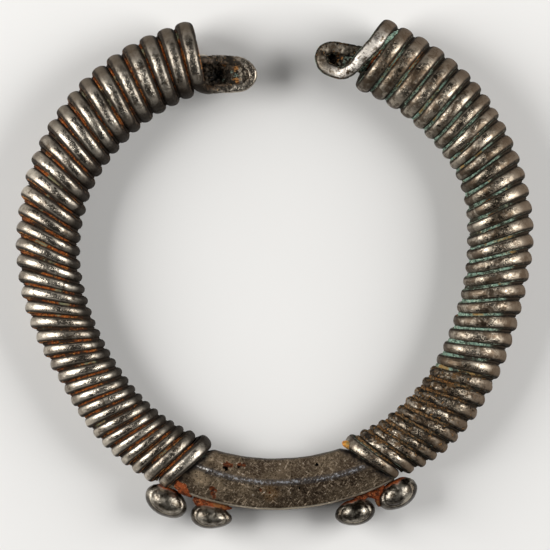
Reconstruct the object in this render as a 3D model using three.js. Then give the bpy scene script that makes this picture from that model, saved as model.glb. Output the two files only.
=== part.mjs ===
// Open bracelet of a curved bar wound with two tapering wires, lying flat.
// Millimetres, +Z up through the ring, +Y towards the gap between the two loops.
import * as THREE from 'three';
import { mergeVertices } from 'three/addons/utils/BufferGeometryUtils.js';

// Stations of each winding, by turn: ring angle of the outer end of the turn, lean of
// the turn in ring degrees, middle radius, half width, half height, wire thickness.
// Ring angles are degrees from the gap, round one side.
const leftStations = [
  [0, 20.9, 4.8, 36.0, 6.05, 5.5, 1.6],
  [5, 42.1, 6.7, 37.05, 6.1, 5.5, 1.6],
  [10, 61.5, 8.0, 37.5, 5.65, 5.2, 1.5],
  [15, 81.4, 7.9, 37.0, 5.45, 5.0, 1.5],
  [20, 99.8, 7.2, 36.0, 5.35, 4.8, 1.4],
  [25, 117.8, 5.8, 35.2, 4.9, 4.6, 1.35],
  [30, 133.4, 6.6, 35.6, 5.1, 4.5, 1.3],
  [35, 149.0, 7.2, 35.7, 5.15, 4.5, 1.25],
  [36, 152.2, 8.6, 35.4, 4.85, 4.5, 1.2],
];
const rightStations = [
  [0, 26.0, -2.0, 37.4, 6.4, 5.6, 1.6],
  [5, 45.0, 3.4, 38.05, 6.15, 5.5, 1.6],
  [10, 62.1, 4.9, 38.05, 5.5, 5.2, 1.5],
  [15, 80.9, 5.2, 36.9, 5.7, 5.0, 1.5],
  [20, 100.0, 5.9, 35.6, 5.25, 4.8, 1.4],
  [25, 119.6, 7.2, 35.7, 5.2, 4.6, 1.35],
  [30, 137.2, 8.0, 36.0, 5.35, 4.55, 1.3],
  [33, 147.0, 8.8, 35.6, 5.05, 4.5, 1.25],
  [34, 150.0, 11.0, 35.3, 4.75, 4.5, 1.2],
];
const stepsPerTurn = 10;
const tailSteps = 1;
const turnClearance = 0.3;
const loopWireWidth = 2.2;
const loopRingCount = 12;

// Wire section: share of the width to each side, share of the thickness off the core.
const wireSection = [[-0.4, 0], [0.4, 0], [0.5, 0.5], [0.27, 1], [-0.27, 1], [-0.5, 0.5]];

// Middle line of each loop, from the leg hidden in the coil round the tip and back:
// distance from the ring's axis to the side, distance towards the gap, height.
const leftLoop = [
  [13.4, 32.4, 5.9],
  [10.6, 32.3, 5.9],
  [7.9, 32.2, 5.9],
  [5.6, 31.9, 5.9],
  [4.4, 30.6, 5.9],
  [5.3, 29.5, 5.8],
  [7.4, 29.2, 5.7],
  [9.2, 29.15, 5.5],
  [10.9, 29.0, 5.7],
  [12.0, 29.2, 6.7],
];
const leftLoopStep = -4;
const rightLoop = [
  [16.6, 34.0, 6.0],
  [13.9, 34.2, 6.0],
  [11.1, 34.7, 6.1],
  [9.1, 34.95, 6.2],
  [7.8, 34.3, 6.4],
  [7.5, 33.2, 6.6],
  [8.0, 31.95, 6.8],
  [9.4, 31.15, 7.1],
  [11.1, 30.85, 7.8],
  [12.6, 31.6, 8.7],
  [13.9, 33.1, 9.4],
];
const rightLoopStep = -2;

// Core bar, bare at the bottom with a ridge along its front. Its middle bows out from
// where the two coils end.
const barBow = 0.65;
const barHalfWidth = 4.2;
const barUnderside = 1.1;
const barShoulder = 6.6;
const barRidge = 8.0;
const barBevel = 0.5;
const barStartTurns = 1.2;
const bareSteps = 9;
const coreClearance = 1.2;
const coreFirstTurn = 2;
const coreSideSteps = 9;
const coreSides = 10;

// Tongue that each end of the core runs out to, as the floor of the loop: its end's
// distance to the side and towards the gap, and the height of its top.
const tongueHalfWidth = 1.7;
const tongueHalfThickness = 0.6;
const tongueTipLength = 0.8;
const tongueTipShare = 0.6;
const leftTongue = [4.9, 30.7, 4.4];
const rightTongue = [8.9, 33.3, 5.5];

// Knobs: side, ring degrees past the end of that coil, how far the centre stands off the
// bar's edge, tilt of the long axis in degrees, half length, half breadth, half height.
const knobs = {
  left_side_knob: ['left', 3.3, 2.4, -30, 3.85, 2.55, 2.9],
  left_bar_knob: ['left', 13.7, 2.3, -8, 3.6, 2.1, 2.5],
  right_side_knob: ['right', 2.0, 2.3, 33, 3.6, 2.45, 2.8],
  right_bar_knob: ['right', 12.2, 2.4, 12, 3.45, 2.25, 2.6],
};
const knobClearance = 0.36;
const knobCentreHeight = 4.6;
const knobSides = 12;
const knobBands = 6;

const degree = Math.PI / 180;
const up = new THREE.Vector3(0, 0, 1);

// Closed skin over a row of rings with the same number of points, capped at both ends.
function loft(rings) {
  const count = rings[0].length;
  const position = rings.flat().flatMap((point) => point.toArray());
  const index = [];
  for (let ring = 0; ring < rings.length - 1; ring += 1) {
    for (let side = 0; side < count; side += 1) {
      const a = ring * count + side;
      const b = ring * count + (side + 1) % count;
      index.push(a, b, b + count, a, b + count, a + count);
    }
  }
  const last = (rings.length - 1) * count;
  for (let side = 1; side < count - 1; side += 1) {
    index.push(0, side + 1, side);
    index.push(last, last + side, last + side + 1);
  }
  return facingOut(position, index);
}

// Geometry whose triangles are turned round when they enclose a negative volume.
function facingOut(position, index) {
  const geometry = new THREE.BufferGeometry();
  geometry.setAttribute('position', new THREE.Float32BufferAttribute(position, 3));
  const corner = index.map((place) => new THREE.Vector3().fromArray(position, place * 3));
  let volume = 0;
  for (let start = 0; start < corner.length; start += 3) {
    volume += corner[start].dot(corner[start + 1].clone().cross(corner[start + 2]));
  }
  geometry.setIndex(volume < 0 ? index.slice().reverse() : index);
  geometry.computeVertexNormals();
  return geometry;
}

// One side of the bracelet: its stations, and which way round the ring it runs.
class Winding {
  constructor(stations, side) {
    this.side = side;
    this.turns = stations[stations.length - 1][0];
    const columns = stations[0].length - 1;
    this.curve = new THREE.CubicInterpolant(
      stations.map((row) => row[0]), stations.flatMap((row) => row.slice(1)), columns,
      new Float32Array(columns));
  }

  at(turn) {
    const inside = THREE.MathUtils.clamp(turn, 0, this.turns);
    const [angle, lean, radius, width, height, thickness] = this.curve.evaluate(inside);
    const neighbour = inside > 0 ? inside - 1 : 1;
    const pitch = Math.abs(angle - this.curve.evaluate(neighbour)[0]);
    const middle = angle + (turn - inside) * pitch + lean / 2 * radius / (radius + width);
    return { angle, middle, lean, radius, width, height, thickness };
  }

  // Directions at a ring angle: away from the axis, and on round the ring.
  directions(angle) {
    const outward = new THREE.Vector3(this.side * Math.sin(angle), Math.cos(angle), 0);
    const along = new THREE.Vector3(this.side * Math.cos(angle), -Math.sin(angle), 0);
    return { outward, along };
  }

  // Frame of the turn's leaning plane at any turn.
  frame(turn) {
    const size = this.at(turn);
    const { outward, along } = this.directions(size.middle * degree);
    const slope = size.radius * size.lean * degree / (2 * size.width);
    const across = outward.clone().addScaledVector(along, -slope);
    const breadth = along.clone().addScaledVector(outward, slope).normalize();
    const centre = outward.multiplyScalar(size.radius).setZ(size.height);
    return { ...size, centre, across, breadth, slope };
  }

  // Where the wire's flat side lies in a turn's plane, and the way out from there.
  seat(frame, phase) {
    const away = frame.across.clone().multiplyScalar(Math.cos(phase));
    away.z = -Math.sin(phase) / Math.cos(Math.PI / stepsPerTurn);
    const seat = frame.centre.clone();
    seat.addScaledVector(frame.across, (frame.width - frame.thickness) * Math.cos(phase));
    seat.z += (frame.height - frame.thickness) * away.z;
    return { seat, away };
  }

  // Wire section at one step round the core, as wide as the next turn leaves room for.
  coilRing(step) {
    const turn = step / stepsPerTurn;
    const phase = turn * 2 * Math.PI;
    const frame = this.frame(turn);
    const { seat, away } = this.seat(frame, phase);
    const start = THREE.MathUtils.clamp(turn - 0.5, 0, this.turns - 1);
    const room = this.seat(this.frame(start + 1), phase).seat
      .sub(this.seat(this.frame(start), phase).seat).dot(frame.breadth);
    const breadth = frame.breadth.multiplyScalar(room - turnClearance);
    return wireRing(seat, breadth, away.multiplyScalar(frame.thickness));
  }
}

function wireRing(seat, breadth, rise) {
  return wireSection.map(([wide, high]) => (
    seat.clone().addScaledVector(breadth, wide).addScaledVector(rise, high)));
}

const winding = {
  left: new Winding(leftStations, -1),
  right: new Winding(rightStations, 1),
};
const leftEnd = winding.left.at(winding.left.turns);
const rightEnd = winding.right.at(winding.right.turns);
const barRadius = (leftEnd.radius + rightEnd.radius) / 2 + barBow;

// Wire rings along a loop. The back of the wire faces up, or away from the loop's hole.
function loopRings(side, path, backUp) {
  const { thickness } = winding[side].at(0);
  const line = new THREE.CatmullRomCurve3(path.map(([x, y, z]) => (
    new THREE.Vector3(winding[side].side * x, y, z))));
  const turning = winding[side].side;
  return Array.from({ length: loopRingCount }, (unused, place) => {
    const share = place / (loopRingCount - 1);
    const along = line.getTangentAt(share);
    const level = along.clone().cross(up).normalize().multiplyScalar(turning);
    const beside = backUp ? level.clone().cross(along) : along.clone().cross(level);
    const breadth = backUp ? level : beside.multiplyScalar(turning);
    const rise = backUp ? beside.multiplyScalar(turning) : level;
    return wireRing(line.getPointAt(share), breadth.multiplyScalar(loopWireWidth),
      rise.multiplyScalar(thickness));
  });
}

function windingGeometry(side, loop, backUp, firstStep) {
  const rings = loopRings(side, loop, backUp);
  const lastStep = winding[side].turns * stepsPerTurn + tailSteps;
  for (let step = firstStep; step <= lastStep; step += 1) {
    rings.push(winding[side].coilRing(step));
  }
  return loft(rings);
}

// Ten-sided core section in the leaning plane of a turn.
function coreRing(frame) {
  const halfWidth = frame.width - frame.thickness - coreClearance;
  const halfHeight = frame.height - frame.thickness - coreClearance;
  return Array.from({ length: coreSides }, (unused, side) => {
    const turn = (side - 0.5) / coreSides * 2 * Math.PI;
    const point = frame.centre.clone();
    point.addScaledVector(frame.across, halfWidth * Math.cos(turn));
    return point.addScaledVector(up, halfHeight * Math.sin(turn));
  });
}

// Bare bar section, from the lower outer edge over the ridge and back underneath.
const barSection = [
  [barHalfWidth, barUnderside + barBevel],
  [barHalfWidth, barShoulder - barBevel],
  [barHalfWidth - barBevel, barShoulder],
  [0, barRidge],
  [barBevel - barHalfWidth, barShoulder],
  [-barHalfWidth, barShoulder - barBevel],
  [-barHalfWidth, barUnderside + barBevel],
  [barBevel - barHalfWidth, barUnderside],
  [0, barUnderside],
  [barHalfWidth - barBevel, barUnderside],
];

function bareRings() {
  const from = winding.left.frame(winding.left.turns + barStartTurns);
  const to = winding.right.frame(winding.right.turns + barStartTurns);
  return Array.from({ length: bareSteps + 1 }, (unused, step) => {
    const share = step / bareSteps;
    const angle = THREE.MathUtils.lerp(from.middle, 360 - to.middle, share);
    const slope = from.slope * Math.max(0, 1 - 2 * share) - to.slope * Math.max(0, 2 * share - 1);
    const { outward, along } = winding.left.directions(angle * degree);
    return barSection.map(([offset, height]) => (
      outward.clone().multiplyScalar(barRadius + offset)
        .addScaledVector(along, -slope * offset).setZ(height)));
  });
}

// Core rings of one side, from the tip of the tongue down to the end of the coil.
function coreSideRings(side, [aside, ahead, top]) {
  const tip = new THREE.Vector3(winding[side].side * aside, ahead, top - tongueHalfThickness);
  const neck = winding[side].frame(1).centre.setZ(tip.z);
  const reach = new THREE.Vector3().subVectors(tip, neck).normalize();
  const level = reach.clone().cross(up).multiplyScalar(winding[side].side);
  const tongueRing = (centre, share) => Array.from({ length: coreSides }, (unused, place) => {
    const turn = (place - 0.5) / coreSides * 2 * Math.PI;
    const point = centre.clone();
    point.addScaledVector(level, tongueHalfWidth * share * Math.cos(turn));
    return point.addScaledVector(up, tongueHalfThickness * share * Math.sin(turn));
  });
  const rings = [
    tongueRing(tip, tongueTipShare),
    tongueRing(tip.clone().addScaledVector(reach, -tongueTipLength), 1),
    tongueRing(neck, 1),
  ];
  for (let step = 0; step <= coreSideSteps; step += 1) {
    const turn = THREE.MathUtils.lerp(coreFirstTurn, winding[side].turns, step / coreSideSteps);
    rings.push(coreRing(winding[side].frame(turn)));
  }
  return rings;
}

// Oval knob lying along its tilt, flat where it faces the bar.
function knobGeometry([side, beyond, standOff, tilt, length, breadth, height]) {
  const edge = barRadius + barHalfWidth;
  const ringAngle = winding[side].at(winding[side].turns).angle + beyond;
  const { outward } = winding[side].directions(ringAngle * degree);
  const centre = outward.clone().multiplyScalar(edge + standOff).setZ(knobCentreHeight);
  const shape = new THREE.SphereGeometry(1, knobSides, knobBands);
  shape.deleteAttribute('normal');
  shape.deleteAttribute('uv');
  shape.rotateX(Math.PI / 2).scale(length, breadth, height).rotateZ(tilt * degree);
  const knob = mergeVertices(shape.translate(centre.x, centre.y, centre.z));
  const corners = knob.attributes.position;
  const corner = new THREE.Vector3();
  for (let place = 0; place < corners.count; place += 1) {
    corner.fromBufferAttribute(corners, place);
    corner.addScaledVector(outward, Math.max(0, edge + knobClearance - corner.dot(outward)));
    corners.setXYZ(place, ...corner);
  }
  return knob;
}

const silver = { roughness: 0.4, metalness: 0.9 };
const group = new THREE.Group();

function addPiece(name, geometry, color) {
  const piece = new THREE.Mesh(geometry, new THREE.MeshStandardMaterial({ color, ...silver }));
  piece.name = name;
  group.add(piece);
}

addPiece('core_bar', loft([
  ...coreSideRings('left', leftTongue),
  ...bareRings(),
  ...coreSideRings('right', rightTongue).reverse(),
]), 0x8a7d6c);
addPiece('left_winding', windingGeometry('left', leftLoop, false, leftLoopStep), 0xa39a90);
addPiece('right_winding', windingGeometry('right', rightLoop, true, rightLoopStep), 0x94897b);
for (const [name, sizes] of Object.entries(knobs)) {
  addPiece(name, knobGeometry(sizes), 0x9b9085);
}

// The origin goes under the middle of the whole piece, at the height that it rests on.
const box = new THREE.Box3().setFromObject(group);
const middle = box.getCenter(new THREE.Vector3());
group.position.set(-middle.x, -middle.y, -box.min.z);

export default group;
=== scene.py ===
import math

import bmesh
import bpy
import numpy as np
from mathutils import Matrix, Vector, noise


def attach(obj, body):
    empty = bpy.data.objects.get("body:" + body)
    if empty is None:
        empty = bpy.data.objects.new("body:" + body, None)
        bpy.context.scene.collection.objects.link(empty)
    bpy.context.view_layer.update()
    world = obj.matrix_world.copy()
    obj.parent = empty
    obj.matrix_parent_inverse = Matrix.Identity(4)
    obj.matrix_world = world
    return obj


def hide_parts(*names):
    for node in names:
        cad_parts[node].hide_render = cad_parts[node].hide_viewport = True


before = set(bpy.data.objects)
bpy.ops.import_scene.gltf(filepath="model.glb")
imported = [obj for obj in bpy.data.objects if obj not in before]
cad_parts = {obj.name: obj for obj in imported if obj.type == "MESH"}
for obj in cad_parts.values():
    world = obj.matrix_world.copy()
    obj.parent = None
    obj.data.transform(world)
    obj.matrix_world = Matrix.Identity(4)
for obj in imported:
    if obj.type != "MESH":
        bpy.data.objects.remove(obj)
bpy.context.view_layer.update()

# All sizes below are millimetres about the ring's axis, +Y towards the gap.
millimetre = 0.001
ringAxis = np.array([0.047, 1.784, 0.0])
upward = np.array([0.0, 0.0, 1.0])
fullTurn = 2 * math.pi
perMillimetre = 1000.0  # a noise's scale in metres for one lump each millimetre
mergeDistance = 1e-7  # metres


def toMetres(points):
    return (np.asarray(points, float) + ringAxis) * millimetre


def unit(vector):
    return vector / np.linalg.norm(vector)


def easeBetween(value, low, high):
    share = np.clip((value - low) / (high - low), 0.0, 1.0)
    return share * share * (3.0 - 2.0 * share)


def zeroToOne(spot):
    return 0.5 + 0.5 * noise.noise(spot)


def storeValues(mesh, fields):
    # one number a vertex under each name, for the node trees and the materials
    for name, values in fields.items():
        mesh.attributes.new(name, "FLOAT", "POINT").data.foreach_set("value", values)


def faceOutward(mesh, merge=False):
    shell = bmesh.new()
    shell.from_mesh(mesh)
    if merge:
        bmesh.ops.remove_doubles(shell, verts=shell.verts, dist=mergeDistance)
    bmesh.ops.recalc_face_normals(shell, faces=shell.faces)
    shell.to_mesh(mesh)
    shell.free()


def addPiece(name, mesh, material):
    mesh.materials.clear()
    mesh.materials.append(material)
    mesh.name = name
    piece = bpy.data.objects.new(name, mesh)
    bpy.context.scene.collection.objects.link(piece)
    print(name, len(mesh.vertices), "vertices", len(mesh.polygons), "faces")
    return piece


class Socket:
    # An output socket that takes Python's operators and adds the nodes for them.
    def __init__(self, tree, socket):
        self.tree = tree
        self.socket = socket

    def other(self, name):
        return Socket(self.tree, self.socket.node.outputs[name])

    def joined(self, operation, first, second):
        turned = [isinstance(v, tuple) or (isinstance(v, Socket) and v.socket.type == "VECTOR")
                  for v in (first, second)]
        if not any(turned):
            return self.tree.add("ShaderNodeMath", {"operation": operation}, {0: first, 1: second})
        if operation == "MULTIPLY" and not all(turned):
            vector, factor = (first, second) if turned[0] else (second, first)
            return self.tree.add("ShaderNodeVectorMath", {"operation": "SCALE"},
                                 {0: vector, "Scale": factor})
        return self.tree.add("ShaderNodeVectorMath", {"operation": operation},
                             {0: first, 1: second})

    def __add__(self, value):
        return self.joined("ADD", self, value)

    def __radd__(self, value):
        return self.joined("ADD", value, self)

    def __sub__(self, value):
        return self.joined("SUBTRACT", self, value)

    def __rsub__(self, value):
        return self.joined("SUBTRACT", value, self)

    def __mul__(self, value):
        return self.joined("MULTIPLY", self, value)

    def __rmul__(self, value):
        return self.joined("MULTIPLY", value, self)

    def __truediv__(self, value):
        return self.joined("DIVIDE", self, value)

    def __rtruediv__(self, value):
        return self.joined("DIVIDE", value, self)

    def __pow__(self, value):
        return self.joined("POWER", self, value)

    def __mod__(self, value):
        return self.joined("MODULO", self, value)

    def math(self, operation, *values):
        slots = {place: value for place, value in enumerate((self,) + values)}
        return self.tree.add("ShaderNodeMath", {"operation": operation}, slots)

    def most(self, *values):
        result = self
        for value in values:
            result = result.math("MAXIMUM", value)
        return result

    def ramp(self, low, high):
        # 0 at low to 1 at high, eased at both ends
        return self.tree.add("ShaderNodeMapRange", {"interpolation_type": "SMOOTHSTEP"},
                             {"Value": self, "From Min": low, "From Max": high})


class Nodes:
    # A node tree with one way to add any node: settings first, then values and links.
    def __init__(self, tree):
        self.tree = tree

    def add(self, kind, settings=None, inputs=None, output=0):
        node = self.tree.nodes.new(kind)
        node.location = (190 * len(self.tree.nodes), 0)
        for name, value in (settings or {}).items():
            setattr(node, name, value)
        for name, value in (inputs or {}).items():
            if isinstance(value, Socket):
                self.tree.links.new(value.socket, node.inputs[name])
            elif value is not None:
                node.inputs[name].default_value = value
        return Socket(self, node.outputs[output]) if len(node.outputs) else node

    def noise(self, place, scale, detail=4.0, roughness=0.55, distortion=0.0):
        return self.add("ShaderNodeTexNoise", {}, {
            "Vector": place, "Scale": scale, "Detail": detail, "Roughness": roughness,
            "Distortion": distortion}, "Fac")

    def mixColor(self, factor, first, second):
        sides = {}
        for name, value in ((6, first), (7, second)):
            sides[name] = value + (1.0,) if isinstance(value, tuple) else value
        return self.add("ShaderNodeMix", {"data_type": "RGBA"}, {0: factor, **sides}, 2)

    def layered(self, color, *layers):
        # each layer covers the ones before it by its factor
        for factor, top in layers:
            color = self.mixColor(factor, color, top)
        return color

    def mixValue(self, factor, first, second):
        return self.add("ShaderNodeMix", {"data_type": "FLOAT"}, {0: factor, 2: first, 3: second})

    def vector(self, x, y, z):
        return self.add("ShaderNodeCombineXYZ", {}, {0: x, 1: y, 2: z})

    def place(self):
        return self.add("ShaderNodeTexCoord", {}, {}, "Object")

    def marks(self, piece, *names):
        return [self.add("ShaderNodeAttribute", {"attribute_name": piece + name}, {}, "Fac")
                for name in names]


# Stations: turn, ring angle of the outer end, lean, middle radius, half width, half height
# and wire thickness. The loop's points lead from the wire's end to the first turn.
leftCoil = {
    "side": -1,
    "stations": [
        (0, 20.9, 4.8, 36.0, 6.05, 5.5, 1.6), (5, 42.1, 6.7, 37.05, 6.1, 5.5, 1.6),
        (10, 61.5, 8.0, 37.5, 5.65, 5.2, 1.5), (15, 81.4, 7.9, 37.0, 5.45, 5.0, 1.5),
        (20, 99.8, 7.2, 36.0, 5.35, 4.8, 1.4), (25, 117.8, 5.8, 35.2, 4.9, 4.6, 1.35),
        (30, 133.4, 6.6, 35.6, 5.1, 4.5, 1.3), (35, 149.0, 7.6, 35.7, 5.3, 4.5, 1.25),
        (36, 152.7, 9.8, 35.5, 5.25, 4.5, 1.2)],
    "loop": [
        (13.4, 32.4, 5.9), (10.6, 32.3, 5.9), (7.9, 32.2, 5.9), (5.6, 31.9, 5.9),
        (4.4, 30.6, 5.9), (5.3, 29.5, 5.8), (7.4, 29.2, 5.7), (9.2, 29.15, 5.5),
        (10.9, 29.0, 5.7), (12.0, 29.2, 6.7)],
    "backUp": False, "boxy": 1.0, "firstTurn": -0.4, "wornTurns": None, "legWear": 0.85,
    "legEnd": (0.30, 0.44), "footWear": 0.45, "seed": 3.0,
}
rightCoil = {
    "side": 1,
    "stations": [
        (0, 26.0, -2.0, 37.4, 6.4, 5.6, 1.6), (5, 45.0, 3.4, 38.05, 6.15, 5.5, 1.6),
        (10, 62.1, 4.9, 38.05, 5.5, 5.2, 1.5), (15, 80.9, 5.2, 36.9, 5.7, 5.0, 1.5),
        (20, 100.0, 5.9, 35.6, 5.25, 4.8, 1.4), (25, 119.6, 7.2, 35.7, 5.2, 4.6, 1.35),
        (30, 137.2, 8.0, 36.0, 5.35, 4.55, 1.3), (33, 146.3, 8.8, 35.6, 5.05, 4.5, 1.25),
        (34, 149.8, 11.0, 35.3, 4.75, 4.5, 1.2)],
    "loop": [
        (16.6, 34.0, 6.0), (13.9, 34.2, 6.0), (11.1, 34.7, 6.1), (9.1, 34.95, 6.2),
        (7.8, 34.3, 6.4), (7.5, 33.2, 6.6), (8.0, 31.95, 6.8), (9.4, 31.15, 7.1),
        (11.1, 30.85, 7.8), (12.6, 31.6, 8.7), (13.9, 33.1, 9.4)],
    "backUp": True, "boxy": 0.0, "firstTurn": -0.2, "wornTurns": (23.6, 33.3), "legWear": 0.6,
    "legEnd": (0.38, 0.55), "footWear": 0.35, "seed": 11.0,
}
wire = {
    "rowsPerTurn": 64, "sides": 20, "gap": 0.13, "loopWidth": 2.2, "loopRows": 110,
    "tailTurns": 0.1, "endRows": 9, "slack": 0.10, "loopTurnStep": 0.004,
}


class Coil:
    # One side of the bracelet: sizes and frames at any turn of its wire.
    def __init__(self, look):
        self.side = look["side"]
        self.stations = np.array(look["stations"], float)
        self.turns = self.stations[-1, 0]
        self.look = look

    def row(self, turn):
        rows = self.stations
        turn = min(max(turn, 0.0), self.turns)
        after = min(int(np.searchsorted(rows[:, 0], turn, side="right")), len(rows) - 1)
        before = after - 1
        start, end = rows[before, 0], rows[after, 0]
        previous, following = before - 1, after + 1
        previousTurn = rows[previous, 0] if previous >= 0 else end
        previous = previous if previous >= 0 else after
        followingTurn = rows[following, 0] if following < len(rows) else start
        following = following if following < len(rows) else before
        half = (end - start) / 2
        weightP = half / (start - previousTurn)
        weightN = half / (followingTurn - end)
        p = (turn - start) / (end - start)
        pp, ppp = p * p, p * p * p
        return (rows[previous, 1:] * (-weightP * ppp + 2 * weightP * pp - weightP * p)
                + rows[before, 1:] * ((1 + weightP) * ppp + (-1.5 - 2 * weightP) * pp
                                      + (-0.5 + weightP) * p + 1)
                + rows[after, 1:] * ((-1 - weightN) * ppp + (1.5 + weightN) * pp + 0.5 * p)
                + rows[following, 1:] * (weightN * ppp - weightN * pp))

    def directions(self, angle):
        outward = np.array([self.side * math.sin(angle), math.cos(angle), 0.0])
        along = np.array([self.side * math.cos(angle), -math.sin(angle), 0.0])
        return outward, along

    def frame(self, turn):
        inside = min(max(turn, 0.0), self.turns)
        angle, lean, radius, width, height, thickness = self.row(inside)
        neighbour = inside - 1 if inside > 0 else 1
        pitch = abs(angle - self.row(neighbour)[0])
        middle = angle + (turn - inside) * pitch + lean / 2 * radius / (radius + width)
        outward, along = self.directions(math.radians(middle))
        slope = radius * math.radians(lean) / (2 * width)
        return {
            "angle": angle, "middle": middle, "slope": slope, "radius": radius,
            "width": width, "height": height, "thickness": thickness,
            "across": outward - slope * along, "breadth": unit(along + slope * outward),
            "centre": outward * radius + upward * height,
        }

    def seat(self, plane, phase):
        away = plane["across"] * math.cos(phase) - upward * math.sin(phase)
        seat = (plane["centre"]
                + plane["across"] * (plane["width"] - plane["thickness"]) * math.cos(phase)
                - upward * (plane["height"] - plane["thickness"]) * math.sin(phase))
        return seat, away

    def room(self, turn, phase):
        start = min(max(turn - 0.5, 0.0), self.turns - 1)
        nextSeat, _ = self.seat(self.frame(start + 1), phase)
        seat, _ = self.seat(self.frame(start), phase)
        return float((nextSeat - seat) @ self.frame(turn)["breadth"])


leftSide = Coil(leftCoil)
rightSide = Coil(rightCoil)


def smoothLine(points, count):
    # a centripetal curve through the points, sampled evenly by length
    points = np.asarray(points, float)
    ends = [2 * points[0] - points[1], *points, 2 * points[-1] - points[-2]]
    fine = []
    for p0, p1, p2, p3 in zip(ends, ends[1:], ends[2:], ends[3:]):
        t1 = np.linalg.norm(p1 - p0) ** 0.5
        t2 = t1 + np.linalg.norm(p2 - p1) ** 0.5
        t3 = t2 + np.linalg.norm(p3 - p2) ** 0.5
        for t in np.linspace(t1, t2, 24, endpoint=False):
            a1 = (t1 - t) / t1 * p0 + t / t1 * p1
            a2 = (t2 - t) / (t2 - t1) * p1 + (t - t1) / (t2 - t1) * p2
            a3 = (t3 - t) / (t3 - t2) * p2 + (t - t2) / (t3 - t2) * p3
            b1 = (t2 - t) / t2 * a1 + t / t2 * a2
            b2 = (t3 - t) / (t3 - t1) * a2 + (t - t1) / (t3 - t1) * a3
            fine.append((t2 - t) / (t2 - t1) * b1 + (t - t1) / (t2 - t1) * b2)
    fine = np.array(fine + [points[-1]])
    length = np.concatenate([[0.0], np.cumsum(np.linalg.norm(np.diff(fine, axis=0), axis=1))])
    where = np.linspace(0.0, length[-1], count)
    return np.stack([np.interp(where, length, fine[:, axis]) for axis in range(3)], axis=1)


def loopRows(coil):
    # guide rows round the loop, which turn into the coil's first row at their end
    look = coil.look
    points = [(look["side"] * x, y, z) for x, y, z in look["loop"]]
    first = look["firstTurn"]
    for extra in (0.0, 0.05, 0.1, 0.15):
        turn = first + extra
        points.append(tuple(coil.seat(coil.frame(turn), fullTurn * turn)[0]))
    line = smoothLine(points, 4 * wire["loopRows"])
    target, startAway = coil.seat(coil.frame(first), fullTurn * first)
    last = int(np.argmin(np.linalg.norm(line - target, axis=1)))
    line = line[:last + 1]
    tangents = np.gradient(line, axis=0)
    picked = np.unique(np.linspace(0, len(line) - 2, wire["loopRows"]).astype(int))
    coilFrame = coil.frame(first)
    coilWidth = coil.room(first, fullTurn * first) - wire["gap"]
    rows = []
    for place in picked:
        tangent = unit(tangents[place])
        level = unit(np.cross(tangent, upward)) * coil.side
        if look["backUp"]:
            breadth, rise = level, np.cross(level, tangent) * coil.side
        else:
            breadth, rise = np.cross(tangent, level) * coil.side, level
        reach = place / len(line)
        share = float(easeBetween(reach, 0.80, 1.0))
        leg = look["legWear"] * (1 - float(easeBetween(reach, *look["legEnd"])))
        foot = look["footWear"] * float(easeBetween(reach, 0.60, 0.66)
                                        * (1 - easeBetween(reach, 0.80, 0.88)))
        breadth = unit(breadth * (1 - share) + coilFrame["breadth"] * share)
        rise = unit(rise * (1 - share) + startAway * share)
        rows.append({
            "centre": line[place], "across": rise, "breadth": breadth, "phase": 0.0,
            "swing": 0.0, "lift": 0.0, "thick": coilFrame["thickness"],
            "wide": wire["loopWidth"] * (1 - share) + coilWidth * share,
            "turn": first - (len(line) - place) * wire["loopTurnStep"], "inner": 1.0,
            "worn": leg + foot,
            "boxy": look["boxy"] * (1 - float(easeBetween(reach, 0.62, 0.95))),
        })
    return rows


def coilRows(coil):
    look = coil.look
    first, last = look["firstTurn"], coil.turns + wire["tailTurns"]
    count = int(round((last - first) * wire["rowsPerTurn"])) + 1
    rows = []
    for turn in np.linspace(first, last, count):
        plane = coil.frame(turn)
        phase = fullTurn * turn
        drift = zeroToOne(Vector((turn * 0.9, look["seed"], 0.0)))
        wobble = noise.noise(Vector((turn * 0.37, look["seed"], 5.0)))
        settle = wire["slack"] * drift * float(easeBetween(turn, first, first + 1))
        wide = coil.room(turn, phase) - wire["gap"] * (1.0 + 1.6 * abs(wobble))
        worn = 0.0
        if look["wornTurns"]:
            begin, end = look["wornTurns"]
            worn = float(easeBetween(turn, begin, begin + 1.5)
                         * (1 - easeBetween(turn, end - 0.8, end)))
        rows.append({
            "centre": plane["centre"], "across": plane["across"], "breadth": plane["breadth"],
            "phase": phase, "swing": plane["width"] - plane["thickness"] - settle,
            "lift": plane["height"] - plane["thickness"] - settle,
            "thick": plane["thickness"] * (1.0 - 0.05 * drift), "wide": wide,
            "turn": turn, "inner": 0.5 - 0.5 * math.cos(phase), "worn": worn, "boxy": 0.0,
        })
    return rows


def guideMesh(name, rows, ends):
    # one loose vertex a row, with what the node tree needs as attributes
    mesh = bpy.data.meshes.new(name)
    count = len(rows)
    mesh.vertices.add(count)
    mesh.vertices.foreach_set("co", toMetres([row["centre"] for row in rows]).ravel())
    for key in ("across", "breadth"):
        values = np.array([row[key] for row in rows])
        mesh.attributes.new(key, "FLOAT_VECTOR", "POINT").data.foreach_set("vector", values.ravel())
    lengths = ("swing", "lift", "thick", "wide")
    storeValues(mesh, {
        key: np.array([row[key] for row in rows]) * (millimetre if key in lengths else 1)
        for key in lengths + ("phase", "turn", "inner", "worn", "boxy")})
    place = np.arange(count)
    nearest = np.minimum(place, count - 1 - place) / ends
    storeValues(mesh, {"girth": np.sqrt(1 - np.clip(1 - nearest, 0, 1) ** 2)})
    return mesh


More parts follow.
